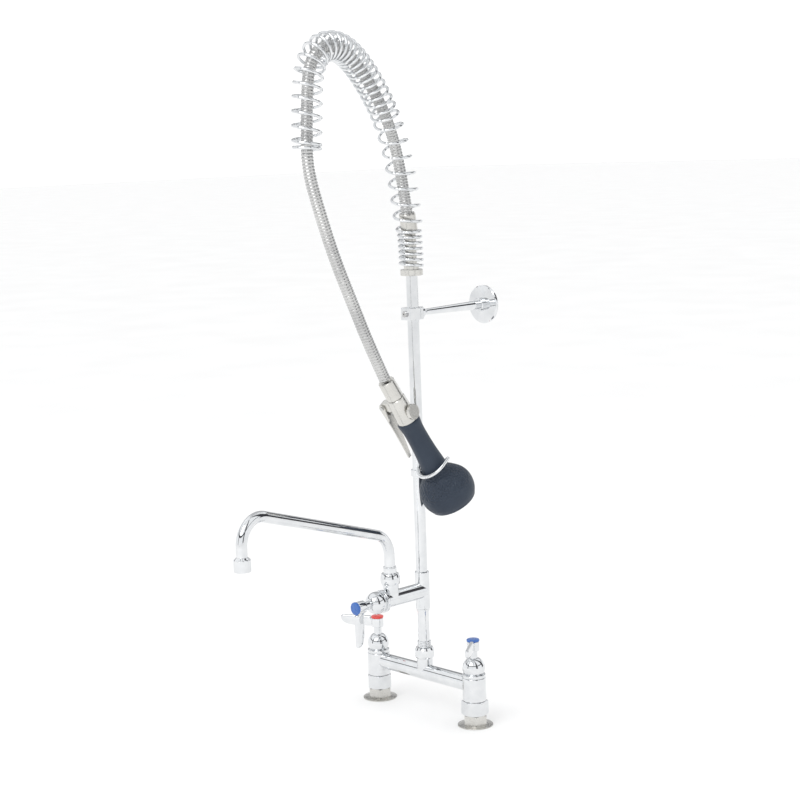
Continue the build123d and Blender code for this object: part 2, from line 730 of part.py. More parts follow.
with BuildPart() as spray_bonnet:
    turned(
        cross_axis,
        (0, 10.2),
        (7.0, 10.2),
        (7.0, 15.9),
        (10.9, 15.9),
        (11.5, 16.5),
        (11.5, 20.2),
        (10.7, 21),
        (0, 21),
    )
    drum(cross_axis, 5.6, 10, 17.5, mode=Mode.SUBTRACT)
spray_bonnet.part.label = "spray_bonnet"
export_step(spray_bonnet.part, "parts/spray_bonnet.step")

# Stem with its sealing disc, pushed in by the lever and back out by its spring.
LEVER_FACE = 28.6
with BuildPart() as spray_stem:
    turned(
        cross_axis,
        (0, -LEVER_FACE + 0.3),
        (2.4, -LEVER_FACE + 0.3),
        (3.2, -LEVER_FACE + 1.4),
        (3.2, -5.5),
        (6.9, -5.5),
        (6.9, -3.5),
        (3.0, -3.5),
        (3.0, 0.5),
        (0, 0.5),
    )
spray_stem.part.label = "spray_stem"
export_step(spray_stem.part, "parts/spray_stem.step")

with BuildPart() as spray_stem_spring:
    turned(cross_axis, (4.0, 3.0), (5.2, 3.0), (5.2, 17.2), (4.0, 17.2))
spray_stem_spring.part.label = "spray_stem_spring"
export_step(spray_stem_spring.part, "parts/spray_stem_spring.step")

# Squeeze lever: a pressed channel with two ears over the lug and a tapering blade.
BLADE = 2.2
with BuildPart() as squeeze_lever:
    with BuildSketch(lever_side) as strip:
        with BuildLine():
            Spline((31, -107), (31.6, -84), (33, -60), (37.4, -21))
            Line((37.4, -21), (37.4 - BLADE, -20.6))
            Spline((37.4 - BLADE, -20.6), (33 - BLADE, -60), (31.6 - BLADE, -84), (31 - BLADE, -107))
            Line((31 - BLADE, -107), (31, -107))
        make_face()
    extrude(strip.sketch, amount=8, both=True)
    with BuildSketch(Plane(origin=NECK + outward * 50, x_dir=pin_dir, z_dir=-outward)) as taper:
        with BuildLine():
            Polyline((-8, 108), (8, 108), (8, 92), (2.8, 20.6), (-2.8, 20.6), (-8, 92), (-8, 108))
        make_face()
    extrude(taper.sketch, amount=40, mode=Mode.INTERSECT)
    for side in (-1, 1):
        start = 5.9 if side > 0 else -8
        with BuildSketch(lever_side.offset(start)) as ear:
            with BuildLine():
                ThreePointArc((23.2, -115), (28, -119.8), (32.8, -115))
                Polyline((32.8, -115), (31.4, -95), (29.5, -90), (26.6, -95), (23.2, -115))
            make_face()
        extrude(ear.sketch, amount=2.1)
    drum(pin_axis, 2.05, -10, 10, mode=Mode.SUBTRACT)
squeeze_lever.part.label = "squeeze_lever"
export_step(squeeze_lever.part, "parts/squeeze_lever.step")

with BuildPart() as lever_pin:
    drum(pin_axis, 2.0, -9.2, 8.4)
    drum(pin_axis, 3.0, 8.3, 9.4)
lever_pin.part.label = "lever_pin"
export_step(lever_pin.part, "parts/lever_pin.step")

# Grip sleeve, and the rubber bell that carries the spray face.
with BuildPart() as grip:
    with BuildSketch(Plane(origin=NECK, x_dir=across, z_dir=-handset.y_dir)):
        with BuildLine():
            Polyline((CORE_R + FIT, GRIP_TOP + 4.2), (15.6, GRIP_TOP + 2.2), (15.6, GRIP_TOP))
            ThreePointArc((15.6, GRIP_TOP), (16.9, GRIP_TOP + 2), (17.2, GRIP_TOP + 5))
            Spline((17.2, GRIP_TOP + 5), (15.6, -70), (15.5, -52), (16.4, -30), (18.3, -8), (19.4, 1))
            Polyline((19.4, 1), (CORE_R + FIT, 1), (CORE_R + FIT, GRIP_TOP + 4.2))
        make_face()
    revolve(axis=Axis(NECK, down))
grip.part.label = "grip"
export_step(grip.part, "parts/grip.step")

BELL_R = 40.8
FACE_ALONG = 64.0
BELL_PROFILE = [
    (19.5, 1.1),
    (20.7, 6.5),
    (29.2, 16),
    (37.0, 26),
    (BELL_R, 38),
    (39.8, 52),
    (34.8, FACE_ALONG),
]
with BuildPart() as spray_bell:
    with BuildSketch(Plane(origin=NECK, x_dir=across, z_dir=-handset.y_dir)):
        with BuildLine():
            Line((CORE_R + FIT, 1.1), (19.5, 1.1))
            Spline(*BELL_PROFILE)
            Polyline((34.8, FACE_ALONG), (30, FACE_ALONG), (30, 58), (31, 48), (CORE_R + FIT, 44))
            Line((CORE_R + FIT, 44), (CORE_R + FIT, 1.1))
        make_face()
    revolve(axis=Axis(NECK, down))
spray_bell.part.label = "spray_bell"
export_step(spray_bell.part, "parts/spray_bell.step")

with BuildPart() as spray_face:
    turned(handset, (0, 58.1), (29.6, 58.1), (29.6, 60.4), (27.5, 61.6), (0, 61.6))
    turned(handset, (0, CORE_END), (8, CORE_END), (12, 58.2), (0, 58.2))
    drum(handset, 4.5, CORE_END - 1, 57, mode=Mode.SUBTRACT)
    with BuildSketch(handset.offset(56)) as spray_holes:
        for ring, holes in ((3, 4), (9, 10), (15, 16), (21, 22)):
            with PolarLocations(ring, holes):
                Circle(0.9)
    extrude(spray_holes.sketch, amount=8, mode=Mode.SUBTRACT)
spray_face.part.label = "spray_face"
export_step(spray_face.part, "parts/spray_face.step")

# Hook: a band round the riser, an arm and a fork that holds the neck of the spray valve.
HOOK_Z = 365.0
FORK_R = 25.6
FORK_WIRE = 2.7
FORK_TILT = radians(14)
fork_y = handset.y_dir * cos(FORK_TILT) + down * sin(FORK_TILT)
fork = Plane(origin=NECK - down * 7, x_dir=across, z_dir=across.cross(fork_y))
arm_end = fork.origin + fork_y * FORK_R
arm_start = Vector(arm_end.X, arm_end.Y, 0).normalized() * 9 + Vector(0, 0, HOOK_Z)
with BuildPart() as hook:
    with BuildLine(fork) as fork_line:
        Line((FORK_R, -13), (FORK_R, 0))
        ThreePointArc((FORK_R, 0), (0, FORK_R), (-FORK_R, 0))
        Line((-FORK_R, 0), (-FORK_R, -13))
    with BuildSketch(Plane(origin=fork_line.line @ 0, z_dir=fork_line.line % 0)):
        Circle(FORK_WIRE)
    sweep(path=fork_line.line)
    with Locations(fork_line.line @ 0, fork_line.line @ 1):
        Sphere(FORK_WIRE)
    reach = arm_end - arm_start
    drum(Plane(origin=arm_start, z_dir=reach), FORK_WIRE, 0, reach.length)
    turned(
        Plane.XY,
        (PIPE_R + FIT, HOOK_Z - 4.75),
        (10.9, HOOK_Z - 4.75),
        (11.2, HOOK_Z - 4.4),
        (11.2, HOOK_Z + 4.4),
        (10.9, HOOK_Z + 4.75),
        (PIPE_R + FIT, HOOK_Z + 4.75),
    )
    drum(Plane.XY, PIPE_R + FIT, HOOK_Z - 12, HOOK_Z + 12, mode=Mode.SUBTRACT)
hook.part.label = "hook"
export_step(hook.part, "parts/hook.step")
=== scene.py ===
import json
import math

import bmesh
import bpy
from mathutils import Matrix, Vector
import numpy as np


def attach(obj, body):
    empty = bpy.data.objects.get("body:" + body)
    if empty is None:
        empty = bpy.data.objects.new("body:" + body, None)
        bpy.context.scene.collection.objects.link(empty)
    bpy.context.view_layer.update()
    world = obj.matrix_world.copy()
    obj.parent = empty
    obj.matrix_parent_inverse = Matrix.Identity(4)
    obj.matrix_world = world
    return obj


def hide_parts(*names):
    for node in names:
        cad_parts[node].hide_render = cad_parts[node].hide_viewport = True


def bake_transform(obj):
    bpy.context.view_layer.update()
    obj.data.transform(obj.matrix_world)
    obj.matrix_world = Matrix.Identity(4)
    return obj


# Pre-rinse faucet. Metres, in the model's own frame: origin on the deck midway between the
# inlets, X towards the cold side, Y towards the wall, Z up.
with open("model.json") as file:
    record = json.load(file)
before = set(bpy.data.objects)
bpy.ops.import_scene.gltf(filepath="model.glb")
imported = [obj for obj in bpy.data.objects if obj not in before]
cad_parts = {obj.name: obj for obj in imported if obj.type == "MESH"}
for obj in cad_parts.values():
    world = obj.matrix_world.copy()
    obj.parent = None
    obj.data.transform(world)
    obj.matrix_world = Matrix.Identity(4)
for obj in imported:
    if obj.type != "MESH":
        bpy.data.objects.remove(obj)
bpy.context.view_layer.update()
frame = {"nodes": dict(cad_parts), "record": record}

MM = 0.001
# points closer than this, in metres, are the same point
DOUBLED = 2e-6


# ---------------------------------------------------------------- mesh helpers
def new_mesh(name, points, faces, smooth=True):
    """Make a mesh object from points and faces."""
    mesh = bpy.data.meshes.new(name)
    mesh.from_pydata([tuple(point) for point in points], [], faces)
    mesh.validate()
    mesh.update()
    if smooth:
        mesh.shade_smooth()
    piece = bpy.data.objects.new(name, mesh)
    bpy.context.scene.collection.objects.link(piece)
    return piece


def frame_of(origin, axis, start):
    """A placing of local (radius direction, side, height) on an origin, an axis and a start."""
    axis = Vector(axis).normalized()
    start = Vector(start)
    start = (start - axis * start.dot(axis)).normalized()
    side = axis.cross(start)
    return Vector(origin), start, side, axis


def eased(outline, radius, steps=4):
    """Round every corner of an open outline with a small arc, in the outline's own units."""
    points = [Vector(point) for point in outline]
    result = [points[0]]
    for before, here, after in zip(points, points[1:], points[2:]):
        back = (before - here)
        forth = (after - here)
        room = min(radius, back.length * 0.45, forth.length * 0.45)
        first = here + back.normalized() * room
        last = here + forth.normalized() * room
        for step in range(steps + 1):
            t = step / steps
            result.append(first * (1 - t) ** 2 + here * 2 * t * (1 - t) + last * t * t)
    result.append(points[-1])
    return result


def lathe(name, place, outline, ease=0.5, segments=96):
    """Turn an outline of (radius, height) in millimetres about the place's axis."""
    origin, start, side, axis = place
    profile = eased([Vector((r, h)) for r, h in outline], ease)
    points, faces = [], []
    for r, h in profile:
        for step in range(segments):
            angle = 2 * math.pi * step / segments
            out = start * math.cos(angle) + side * math.sin(angle)
            points.append(origin + (out * r + axis * h) * MM)
    rows = len(profile)
    for row in range(rows - 1):
        for step in range(segments):
            a = row * segments + step
            b = row * segments + (step + 1) % segments
            faces.append((a, b, b + segments, a + segments))
    piece = new_mesh(name, points, faces)
    clean(piece)
    return piece


def clean(piece):
    """Merge doubled points and turn every face outwards."""
    work = bmesh.new()
    work.from_mesh(piece.data)
    bmesh.ops.remove_doubles(work, verts=work.verts, dist=DOUBLED)
    bmesh.ops.recalc_face_normals(work, faces=work.faces)
    work.to_mesh(piece.data)
    work.free()
    piece.data.shade_smooth()


def joined(name, pieces):
    """Join meshes into one object."""
    bpy.ops.object.select_all(action="DESELECT")
    for piece in pieces:
        piece.select_set(True)
    bpy.context.view_layer.objects.active = pieces[0]
    bpy.ops.object.join()
    pieces[0].name = name
    return pieces[0]


def directions(path):
    """Unit tangents and parallel-carried normals along a polyline, as arrays."""
    tangent = np.gradient(path, axis=0)
    tangent /= np.linalg.norm(tangent, axis=1)[:, None]
    normal = np.zeros_like(path)
    guess = np.cross(tangent[0], (0.3, 0.9, 0.1))
    normal[0] = guess / np.linalg.norm(guess)
    for i in range(1, len(path)):
        carried = normal[i - 1] - tangent[i] * normal[i - 1].dot(tangent[i])
        normal[i] = carried / np.linalg.norm(carried)
    return tangent, normal, np.cross(tangent, normal)


def tube(name, path, radii, sides=24):
    """A round tube along a polyline, with a radius for each of its points, in metres."""
    tangent, normal, binormal = directions(path)
    angles = np.linspace(0, 2 * math.pi, sides, endpoint=False)
    cosines, sines = np.cos(angles)[None, :, None], np.sin(angles)[None, :, None]
    ring = normal[:, None] * cosines + binormal[:, None] * sines
    points = (path[:, None] + ring * np.asarray(radii)[:, None, None]).reshape(-1, 3)
    faces = []
    for row in range(len(path) - 1):
        for step in range(sides):
            a = row * sides + step
            b = row * sides + (step + 1) % sides
            faces.append((a, b, b + sides, a + sides))
    faces.append(tuple(range(sides))[::-1])
    last = (len(path) - 1) * sides
    faces.append(tuple(range(last, last + sides)))
    return new_mesh(name, points, faces)


def smooth_line(route):
    """The points of a NURBS spline that has the route as its control points."""
    curve = bpy.data.curves.new("route", "CURVE")
    curve.dimensions = "3D"
    spline = curve.splines.new("NURBS")
    spline.points.add(len(route) - 1)
    for point, place in zip(spline.points, route):
        point.co = (*place, 1)
    spline.order_u = 3
    spline.use_endpoint_u = True
    spline.resolution_u = 40
    line = bpy.data.objects.new("route", curve)
    bpy.context.scene.collection.objects.link(line)
    mesh = bpy.data.meshes.new_from_object(line)
    points = np.array([vertex.co[:] for vertex in mesh.vertices])
    bpy.data.objects.remove(line)
    return points


def along(path, spacing):
    """The path's points again, evenly spaced, and the distance of each from the start."""
    steps = np.linalg.norm(np.diff(path, axis=0), axis=1)
    distance = np.concatenate([[0], np.cumsum(steps)])
    wanted = np.linspace(0, distance[-1], int(distance[-1] / spacing) + 1)
    even = np.column_stack([np.interp(wanted, distance, path[:, k]) for k in range(3)])
    return even, wanted


def put(piece, body, node=None, material=None):
    """Ride a piece on its body, hide the CAD node it stands for, and give it its material."""
    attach(piece, body)
    if node:
        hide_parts(node)
    if material:
        piece.data.materials.clear()
        piece.data.materials.append(material)
    return piece


# ---------------------------------------------------------------- materials
def shader(name, **values):
    """A new node material with values on its principled shader's own sockets."""
    material = bpy.data.materials.new(name)
    material.use_nodes = True
    nodes = material.node_tree.nodes
    bsdf = nodes["Principled BSDF"]
    for key, value in values.items():
        bsdf.inputs[key.replace("_", " ")].default_value = value
    return material, nodes, material.node_tree.links, bsdf


def texture(nodes, links, kind, scale, stretch=(1, 1, 1), **values):
    """A procedural texture in object coordinates, with its own mapping."""
    where = nodes.new("ShaderNodeTexCoord")
    mapping = nodes.new("ShaderNodeMapping")
    mapping.inputs["Scale"].default_value = stretch
    node = nodes.new(kind)
    node.inputs["Scale"].default_value = scale
    for key, value in values.items():
        node.inputs[key].default_value = value
    links.new(where.outputs["Object"], mapping.inputs["Vector"])
    links.new(mapping.outputs["Vector"], node.inputs["Vector"])
    return node


def ramp(nodes, links, source, low, high, at=(0.3, 0.7)):
    """A colour ramp between two colours, or two greys, driven by a socket."""
    node = nodes.new("ShaderNodeValToRGB")
    stops = node.color_ramp.elements
    stops[0].position, stops[1].position = at
    stops[0].color = low if isinstance(low, tuple) else (low, low, low, 1)
    stops[1].color = high if isinstance(high, tuple) else (high, high, high, 1)
    links.new(source, node.inputs["Fac"])
    return node.outputs["Color"]


def bump(nodes, links, bsdf, height, strength, distance, edge=0.0):
    """Feed a height into the shader's normal, with edges rounded by the given radius."""
    node = nodes.new("ShaderNodeBump")
    if edge:
        bevel = nodes.new("ShaderNodeBevel")
        bevel.samples = 4
        bevel.inputs["Radius"].default_value = edge
        links.new(bevel.outputs["Normal"], node.inputs["Normal"])
    node.inputs["Strength"].default_value = strength
    node.inputs["Distance"].default_value = distance
    links.new(height, node.inputs["Height"])
    links.new(node.outputs["Normal"], bsdf.inputs["Normal"])
    return node


def chrome_material(name="chrome", smudge=0.05):
    """Mirror chrome plate with faint water haze and very slight plating waviness."""
    material, nodes, links, bsdf = shader(name, Metallic=1.0)
    haze = texture(nodes, links, "ShaderNodeTexNoise", 60, Detail=6.0, Roughness=0.6)
    tone = ramp(nodes, links, haze.outputs["Fac"], (0.70, 0.715, 0.73, 1), (0.80, 0.81, 0.82, 1))
    links.new(tone, bsdf.inputs["Base Color"])
    rough = ramp(nodes, links, haze.outputs["Fac"], 0.03, 0.03 + smudge)
    links.new(rough, bsdf.inputs["Roughness"])
    wave = texture(nodes, links, "ShaderNodeTexNoise", 45, Detail=1.0)
    bump(nodes, links, bsdf, wave.outputs["Fac"], 0.04, 0.0004, edge=0.0006)
    return material


def metal_material(name, dark, light, rough, grain=(1, 1, 8), scale=220):
    """Satin nickel or brushed steel: fine drawn grain, tone drift and soft gloss."""
    material, nodes, links, bsdf = shader(name, Metallic=1.0)
    lines = texture(nodes, links, "ShaderNodeTexNoise", scale, grain, Detail=8.0, Roughness=0.7)
    drift = texture(nodes, links, "ShaderNodeTexNoise", 18, Detail=3.0)
    tone = ramp(nodes, links, drift.outputs["Fac"], dark, light)
    links.new(tone, bsdf.inputs["Base Color"])
    gloss = ramp(nodes, links, lines.outputs["Fac"], rough * 0.75, rough * 1.35)
    links.new(gloss, bsdf.inputs["Roughness"])
    bump(nodes, links, bsdf, lines.outputs["Fac"], 0.12, 0.0002, edge=0.0005)
    return material


def rubber_material(name, dark, light, pebble=0.25, scale=900):
    """Moulded rubber: matt, a fine pebble skin and slight colour drift."""
    material, nodes, links, bsdf = shader(name, Specular_IOR_Level=0.42)
    drift = texture(nodes, links, "ShaderNodeTexNoise", 25, Detail=4.0)
    tone = ramp(nodes, links, drift.outputs["Fac"], dark, light)
    links.new(tone, bsdf.inputs["Base Color"])
    skin = texture(nodes, links, "ShaderNodeTexNoise", scale, Detail=3.0)
    gloss = ramp(nodes, links, skin.outputs["Fac"], 0.42, 0.6)
    links.new(gloss, bsdf.inputs["Roughness"])
    bump(nodes, links, bsdf, skin.outputs["Fac"], pebble, 0.0004)
    return material


def bell_material(name, dark, light, neck, axis):
    """The bell's rubber: dimples moulded over its shoulder, fading out on the smooth band."""
    material = rubber_material(name, dark, light)
    nodes, links = material.node_tree.nodes, material.node_tree.links
    where = nodes.new("ShaderNodeTexCoord")
    apart = nodes.new("ShaderNodeVectorMath")
    apart.operation = "SUBTRACT"
    apart.inputs[1].default_value = neck
    reach = nodes.new("ShaderNodeVectorMath")
    reach.operation = "DOT_PRODUCT"
    reach.inputs[1].default_value = axis
    links.new(where.outputs["Object"], apart.inputs[0])
    links.new(apart.outputs["Vector"], reach.inputs[0])
    fade = nodes.new("ShaderNodeMapRange")
    fade.interpolation_type = "SMOOTHSTEP"
    fade.inputs["From Min"].default_value = 0.030
    fade.inputs["From Max"].default_value = 0.040
    fade.inputs["To Min"].default_value = 1
    fade.inputs["To Max"].default_value = 0
    links.new(reach.outputs["Value"], fade.inputs["Value"])
    cells = texture(nodes, links, "ShaderNodeTexVoronoi", 300, Randomness=0.9)
    cells.feature = "SMOOTH_F1"
    shaped = nodes.new("ShaderNodeMath")
    shaped.operation = "MULTIPLY"
    links.new(cells.outputs["Distance"], shaped.inputs[0])
    links.new(fade.outputs["Result"], shaped.inputs[1])
    old = nodes["Bump"]
    dimples = nodes.new("ShaderNodeBump")
    dimples.inputs["Strength"].default_value = 0.9
    dimples.inputs["Distance"].default_value = 0.0035
    links.new(shaped.outputs[0], dimples.inputs["Height"])
    links.new(dimples.outputs["Normal"], old.inputs["Normal"])
    return material


def plastic_material(name, dark, light):
    """Glossy moulded plastic with a faint skin and a clear coat."""
    material, nodes, links, bsdf = shader(name, Coat_Weight=0.5, Coat_Roughness=0.08)
    drift = texture(nodes, links, "ShaderNodeTexNoise", 180, Detail=4.0)
    tone = ramp(nodes, links, drift.outputs["Fac"], dark, light)
    links.new(tone, bsdf.inputs["Base Color"])
    gloss = ramp(nodes, links, drift.outputs["Fac"], 0.22, 0.36)
    links.new(gloss, bsdf.inputs["Roughness"])
    bump(nodes, links, bsdf, drift.outputs["Fac"], 0.06, 0.0003)
    return material


chrome = chrome_material()
nickel = metal_material("satin_nickel", (0.60, 0.59, 0.56, 1), (0.72, 0.71, 0.68, 1), 0.24)
steel = metal_material("hose_steel", (0.50, 0.50, 0.50, 1), (0.64, 0.64, 0.63, 1), 0.24, (1, 1, 1))
brass = metal_material("machined_brass", (0.55, 0.40, 0.16, 1), (0.68, 0.51, 0.23, 1), 0.22)
seal = rubber_material("seal_rubber", (0.012, 0.012, 0.013, 1), (0.022, 0.022, 0.024, 1), 0.1)
SLATE_DARK = (0.017, 0.028, 0.048, 1)
SLATE_LIGHT = (0.024, 0.037, 0.059, 1)
slate = rubber_material("slate_rubber", SLATE_DARK, SLATE_LIGHT)
face_plastic = rubber_material("slate_face", (0.035, 0.045, 0.06, 1), (0.05, 0.06, 0.075, 1), 0.1)
red = plastic_material("red_index", (0.62, 0.035, 0.03, 1), (0.72, 0.06, 0.045, 1))
blue = plastic_material("blue_index", (0.02, 0.10, 0.38, 1), (0.035, 0.14, 0.46, 1))

slot_materials = {
    "chrome": chrome,
    "nickel": nickel,
    "steel": steel,
    "brass": brass,
    "seal_rubber": seal,
    "slate_rubber": slate,
    "slate_plastic": face_plastic,
    "red_index": red,
    "blue_index": blue,
}
for entry in frame["record"]["subparts"]:
    node = frame["nodes"][entry["node"]]
    node.data.materials.clear()
    node.data.materials.append(slot_materials[entry["material_slot"]])


# ---------------------------------------------------------------- driving sizes, from part.py
ARCH_TURN = math.radians(10.0)
FERRULE_LEAN = math.radians(10.5)
SWIVEL_Z = 0.713
NECK = Vector((0.04646, -0.01252, 0.38024))
LEAN = math.radians(30.95)
HEADING = math.radians(81.8)
down = Vector(
    (math.sin(LEAN) * math.cos(HEADING), math.sin(LEAN) * math.sin(HEADING), -math.cos(LEAN))
)
across = Vector((math.sin(HEADING), -math.cos(HEADING), 0))
hose_joint = NECK - down * 0.161
bell_rubber = bell_material("bell_rubber", SLATE_DARK, SLATE_LIGHT, NECK, down)
forward = Vector((math.sin(ARCH_TURN), -math.cos(ARCH_TURN), 0))
sideways = Vector((math.cos(ARCH_TURN), math.sin(ARCH_TURN), 0))
ferrule_foot = Vector((0, 0, SWIVEL_Z))
ferrule_up = forward * math.sin(FERRULE_LEAN) + Vector((0, 0, math.cos(FERRULE_LEAN)))


def in_arch(reach, height, aside=0.0):
    """A point given by its reach from the riser, its height and its offset from the arch."""
    return forward * reach + sideways * aside + Vector((0, 0, height))


# ---------------------------------------------------------------- hose
hose_route = [
    ferrule_foot + ferrule_up * 0.0354,
    ferrule_foot + ferrule_up * 0.101,
    in_arch(0.041, 0.874),
    in_arch(0.078, 0.926),
    in_arch(0.120, 0.966),
    in_arch(0.158, 0.984),
    in_arch(0.195, 0.979),
    in_arch(0.218, 0.956),
    in_arch(0.225, 0.918),
    in_arch(0.229, 0.870),
    in_arch(0.231, 0.818),
    in_arch(0.213, 0.755, 0.005),
    in_arch(0.188, 0.690, 0.0083),
    in_arch(0.158, 0.630, 0.0115),
    in_arch(0.128, 0.568, 0.015),
    hose_joint,
]
HOSE_D = 0.017
RIB = 0.0044
RIB_DEPTH = 0.0014
HOSE_STEP = 0.0005
hose_line = smooth_line(hose_route)
hose_path, hose_at = along(hose_line, HOSE_STEP)
rib_wave = np.abs(np.cos(math.pi * hose_at / RIB)) ** 0.55
hose = tube("ribbed_hose", hose_path, HOSE_D / 2 - RIB_DEPTH * (1 - rib_wave), sides=32)
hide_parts("hose")
hose.data.materials.append(steel)
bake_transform(hose)

# ---------------------------------------------------------------- overhead spring
SEAT_TOP = 0.666
WIRE_R = 0.0022
FOOT_R = 0.0164
OPEN_R = 0.0192
END_R = 0.0186
AXIS_STEP = 0.0004
COIL_STEP = 0.0021
foot_line = [Vector((0, 0, SEAT_TOP + WIRE_R)), ferrule_foot + Vector((0, 0, -0.012))]
spring_end = in_arch(0.2300, 0.844)
spring_route = [*foot_line, ferrule_foot + ferrule_up * 0.03, *hose_route[1:10], spring_end]
spring_line, spring_at = along(smooth_line(spring_route), AXIS_STEP)
# distance along the spring, and the spacing of its turns there
STOPS = [0.0, 0.052, 0.066, 0.200, 0.228, 0.352, 0.372, 0.455, 0.475, 0.535, 0.541]
STOPS_END = 0.546
PITCHES = [0.0082, 0.0082, 0.0235, 0.0240, 0.0130, 0.0100, 0.0110, 0.0165, 0.0190, 0.0195, 0.0050]
total = spring_at[-1]
pitch = np.interp(spring_at, np.array(STOPS) * total / STOPS_END, PITCHES)
turned_by = np.concatenate([[0], np.cumsum(2 * math.pi * -np.diff(spring_at) / pitch[1:])])
coil_r = np.interp(
    spring_at,
    [0, 0.050, 0.068, total - 0.012, total],
    [FOOT_R, FOOT_R, OPEN_R, OPEN_R, END_R],
)
_, normal, binormal = directions(spring_line)
coil = spring_line + (
    normal * np.cos(turned_by)[:, None] + binormal * np.sin(turned_by)[:, None]
) * coil_r[:, None]
coil, _ = along(coil, COIL_STEP)
spring = tube("overhead_coil", coil, np.full(len(coil), WIRE_R), sides=14)
put(spring, "root", "overhead_spring", chrome)


# ---------------------------------------------------------------- spray valve's rubber
def spline_profile(points, count):
    """Evenly spaced (radius, height) points on a smooth curve through the given ones."""
    points = np.array(points, float)
    steps = np.linalg.norm(np.diff(points, axis=0), axis=1) ** 0.5
    knots = np.concatenate([[0], np.cumsum(steps)])
    wanted = np.linspace(0, knots[-1], count)
    result = []
    for u in wanted:
        i = min(max(int(np.searchsorted(knots, u) - 1), 0), len(points) - 2)
        before = points[max(i - 1, 0)]
        after = points[min(i + 2, len(points) - 1)]
        a, b = points[i], points[i + 1]
        gap = knots[i + 1] - knots[i]
        t = (u - knots[i]) / gap
        slope_a = (b - before) / (knots[i + 1] - knots[max(i - 1, 0)]) * gap
        slope_b = (after - a) / (knots[min(i + 2, len(points) - 1)] - knots[i]) * gap
        result.append(
            a * (2 * t**3 - 3 * t**2 + 1)
            + slope_a * (t**3 - 2 * t**2 + t)
            + b * (-2 * t**3 + 3 * t**2)
            + slope_b * (t**3 - t**2)
        )
    return [tuple(point) for point in result]


handset = frame_of(NECK, down, across)
CORE_R = 9.1
grip_profile = [
    (15.7, -87.3),
    (16.8, -86.0),
    (17.1, -82.6),
    (15.6, -70),
    (15.5, -52),
    (16.4, -30),
    (18.3, -8),
    (19.4, 0.9),
]
grip_outline = [(CORE_R, -83.4), (15.6, -85.4), *spline_profile(grip_profile, 60), (CORE_R, 0.9)]
grip = lathe("rubber_grip", handset, grip_outline, ease=0.3, segments=128)
put(grip, "handset", "grip", slate)
FACE_ALONG = 64
bell_profile = [
    (19.5, 1.1),
    (20.7, 6.5),
    (29.2, 16),
    (37.0, 26),
    (40.8, 38),
    (39.8, 52),
    (34.9, 63.4),
]
bell_outline = [
    (CORE_R, 1.1),
    *spline_profile(bell_profile, 90),
    (33.6, FACE_ALONG),
    (31.0, FACE_ALONG),
    (30.0, 63),
    (30.0, 58),
    (31, 48),
    (CORE_R, 44),
]
bell = lathe("rubber_bell", handset, bell_outline, ease=0.3, segments=160)
put(bell, "handset", "spray_bell", bell_rubber)


# ---------------------------------------------------------------- lever handles and index buttons
HUB_LOW = 39.9
HUB_HIGH = 53.7
SCREW_SEAT = 47.8
DRIVE_TOP = 45.8
LEVER_TOP = 56.4
LEVER_REACH = 59.5
SPINDLE_R = 6.05
TAIL_R = 9.85
BALL_R = 16.6
BALL_HEIGHT = 14
INLET_X = 0.1016
CASTING_TOP = 0.0725
HOT_LEVER = math.radians(28.8)
COLD_LEVER = math.radians(55.2)
hot_lever = (-math.cos(HOT_LEVER), -math.sin(HOT_LEVER), 0)
cold_lever = (math.cos(COLD_LEVER), -math.sin(COLD_LEVER), 0)
valves = {
    "hot": frame_of((-INLET_X, 0, CASTING_TOP), (0, 0, 1), hot_lever),
    "cold": frame_of((INLET_X, 0, CASTING_TOP), (0, 0, 1), cold_lever),
    "addon": frame_of((0, -0.0807, 0.1861), (0, -1, 0), (0, 0, -1)),
}


def blade(name, place):
    """The lever's blade: rounded sections on edge, from inside the hub to a rounded tip."""
    origin, start, side, axis = place
    sides, rows = 28, 56
    inside = 5.0  # where the blade starts, inside the hub
    clear_of_hub = 9.9
    turning = 36.0  # where the lower edge starts to turn up
    rise = 11.0
    tip = 4.0
    points, faces = [], []
    for row in range(rows + 1):
        t = row / rows
        reach = inside + (LEVER_REACH - inside) * math.sin(t * math.pi / 2)
        swell = max(0.0, (reach - turning) / (LEVER_REACH - turning))
        lift = rise * (1 - math.sqrt(max(0.0, 1 - swell**2.2)))
        bottom = HUB_LOW + 0.3 + 0.5 * reach / LEVER_REACH + lift
        top = LEVER_TOP if reach > clear_of_hub else HUB_HIGH - 0.2
        into = max(0.0, (reach - (LEVER_REACH - tip)) / tip)
        close = math.sqrt(max(0.0, 1 - into**2)) if into < 1 else 0.0
        middle, half = (top + bottom) / 2, max((top - bottom) / 2 * close, 0.02)
        thick = 4.4 - 1.7 * reach / LEVER_REACH
        wide = max(thick * (0.35 + 0.65 * close) * close**0.3 if close > 0 else 0.02, 0.02)
        for step in range(sides):
            angle = 2 * math.pi * step / sides
            c, s = math.cos(angle), math.sin(angle)
            sideways_by = math.copysign(abs(c) ** 0.62, c) * wide
            height = middle + math.copysign(abs(s) ** 0.50, s) * half
            points.append(origin + (start * reach + side * sideways_by + axis * height) * MM)
    for row in range(rows):
        for step in range(sides):
            a = row * sides + step
            b = row * sides + (step + 1) % sides
            faces.append((a, b, b + sides, a + sides))
    faces.append(tuple(range(sides))[::-1])
    last = rows * sides
    faces.append(tuple(range(last, last + sides)))
    piece = new_mesh(name, points, faces)
    clean(piece)
    return piece


